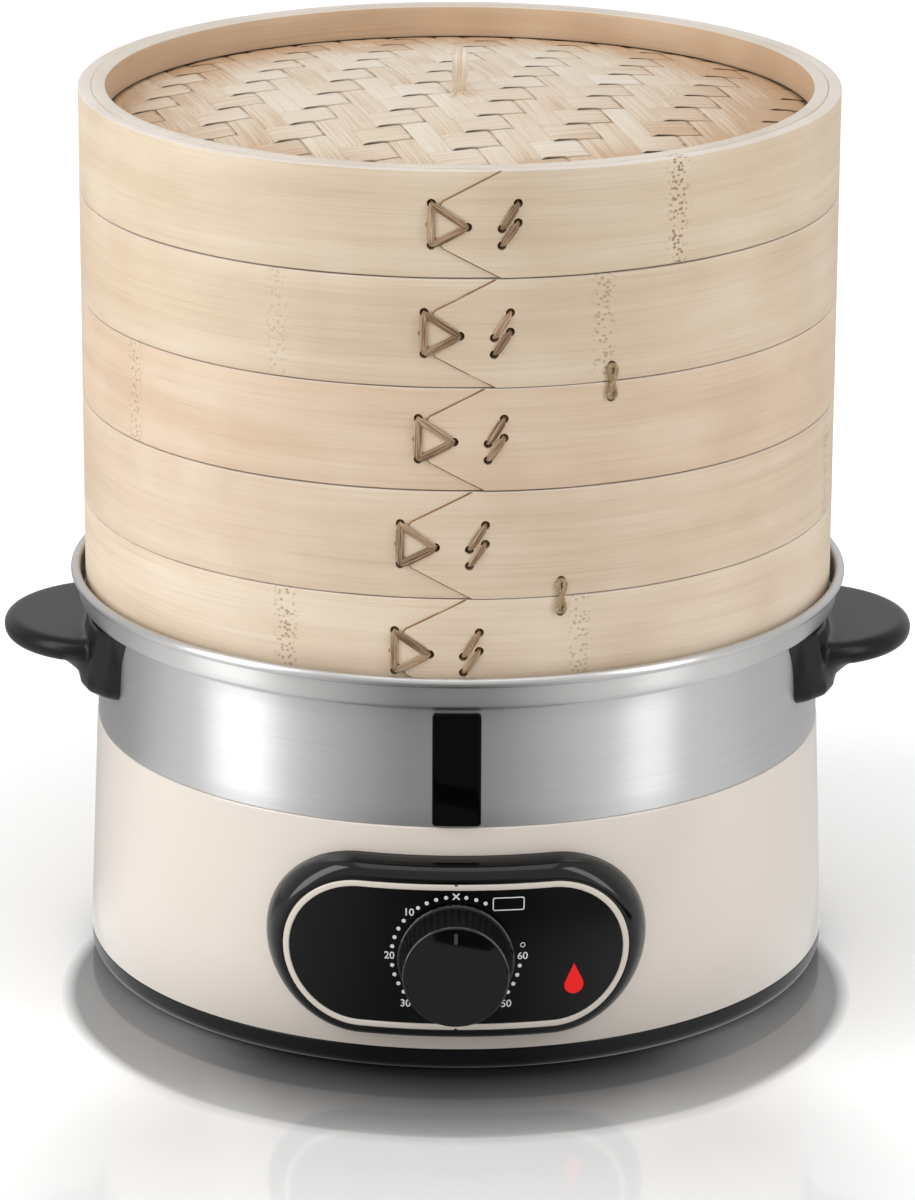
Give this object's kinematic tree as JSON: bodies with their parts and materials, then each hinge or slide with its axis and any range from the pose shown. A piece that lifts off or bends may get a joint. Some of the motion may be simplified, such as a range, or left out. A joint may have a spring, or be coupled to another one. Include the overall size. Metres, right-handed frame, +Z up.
{
  "type": "electric food steamer",
  "caption": "Electric food steamer: round heated water pot with a knob timer and side handles, carrying stacked bamboo baskets under a woven bamboo lid.",
  "frame": {"origin": "on the pot's axis, in the plane of the foot ring's underside, which is the surface the steamer stands on", "axes": "+Z up along the pot's axis; the control panel faces -Y; the handles lie along X"},
  "size_m": [0.3666, 0.3332, 0.3726],
  "materials": {
    "black_moulding": "moulded black polypropylene",
    "foot_rubber": "moulded rubber",
    "screw_steel": "zinc-plated steel",
    "cream_paint": "semi-gloss cream enamel on sheet steel",
    "brushed_pot": "brushed around the axis, rim polished",
    "smoked_window": "smoked polycarbonate",
    "seal_rubber": "silicone rubber",
    "gloss_boss": "glossy black ABS",
    "bright_trim": "pale champagne plating",
    "panel_plate": "black plate, dial marks printed in white",
    "red_lens": "translucent red",
    "neon_glass": "neon lamp",
    "timer_nylon": "natural nylon",
    "bell_steel": "plated bell",
    "contact_brass": "plain brass",
    "cast_plate": "cast",
    "element_sheath": "heat-darkened tube",
    "thermostat_body": "phenolic",
    "fuse_can": "drawn can and clip",
    "shield_sheet": "pressed sheet",
    "brown_wire": "silicone sleeve",
    "black_wire": "silicone sleeve",
    "blue_wire": "silicone sleeve",
    "earth_wire_cover": "silicone sleeve",
    "bakelite": "moulded black phenolic",
    "knob_black": "moulded black ABS, fine grooves",
    "pointer_white": "white inlay",
    "bamboo_band": "split bamboo, sanded",
    "bamboo_hoop": "split bamboo, inner side",
    "bamboo_slat": "split bamboo",
    "bamboo_weave": "woven bamboo strips",
    "bamboo_strip": "peeled bamboo strip",
    "rattan_lace": "split rattan",
    "twine": "twisted plant-fibre twine"
  },
  "bodies": {
    "base": {"base_tray": "black_moulding", "foot_ring": "foot_rubber", "tray_screws": "screw_steel", "outer_shell": "cream_paint", "water_pot": "brushed_pot", "window_lens": "smoked_window", "window_gasket": "seal_rubber", "control_bezel": "gloss_boss", "panel_trim": "bright_trim", "control_panel": "panel_plate", "indicator_lens": "red_lens", "indicator_lamp": "neon_glass", "bezel_screws": "screw_steel", "timer_case": "timer_nylon", "timer_bell": "bell_steel", "timer_screws": "screw_steel", "switch_contacts": "contact_brass", "heating_plate": "cast_plate", "heating_element": "element_sheath", "plate_stud": "screw_steel", "plate_nuts": "screw_steel", "thermostat": "thermostat_body", "thermal_fuse": "fuse_can", "heat_shield": "shield_sheet", "tie_rods": "screw_steel", "live_wire": "brown_wire", "load_wire": "black_wire", "neutral_wire": "blue_wire", "earth_wire": "earth_wire_cover", "inlet_socket": "black_moulding", "inlet_pins": "contact_brass", "inlet_screws": "screw_steel", "left_handle": "bakelite", "right_handle": "bakelite", "handle_screws": "screw_steel"},
    "knob": {"timer_knob": "knob_black", "knob_pointer": "pointer_white", "timer_shaft": "screw_steel", "timer_cam": "timer_nylon"},
    "lower_basket": {"lower_basket_bottom_band": "bamboo_band", "lower_basket_top_band": "bamboo_band", "lower_basket_hoop": "bamboo_hoop", "lower_basket_slats": "bamboo_slat", "lower_basket_rails": "bamboo_slat", "lower_basket_lacing": "rattan_lace", "lower_basket_tie": "twine"},
    "upper_basket": {"upper_basket_bottom_band": "bamboo_band", "upper_basket_top_band": "bamboo_band", "upper_basket_hoop": "bamboo_hoop", "upper_basket_slats": "bamboo_slat", "upper_basket_rails": "bamboo_slat", "upper_basket_lacing": "rattan_lace", "upper_basket_tie": "twine"},
    "lid": {"lid_band": "bamboo_band", "lid_hoop": "bamboo_hoop", "lid_rim_hoop": "bamboo_hoop", "lid_mat": "bamboo_weave", "lid_loop": "bamboo_strip", "lid_lacing": "rattan_lace"}
  },
  "joints": [
    {"name": "knob_turn", "type": "hinge", "parent": "base", "child": "knob", "pos_m": [0, -0.157, 0.0515], "axis": [0, -1, 0], "range_deg": [-41, 270]},
    {"name": "lower_basket_lift", "type": "slide", "parent": "base", "child": "lower_basket", "axis": [0, 0, 1], "range_m": [0, 0.1]},
    {"name": "upper_basket_lift", "type": "slide", "parent": "lower_basket", "child": "upper_basket", "axis": [0, 0, 1], "range_m": [0, 0.1]},
    {"name": "lid_lift", "type": "slide", "parent": "upper_basket", "child": "lid", "axis": [0, 0, 1], "range_m": [0, 0.1]}
  ]
}
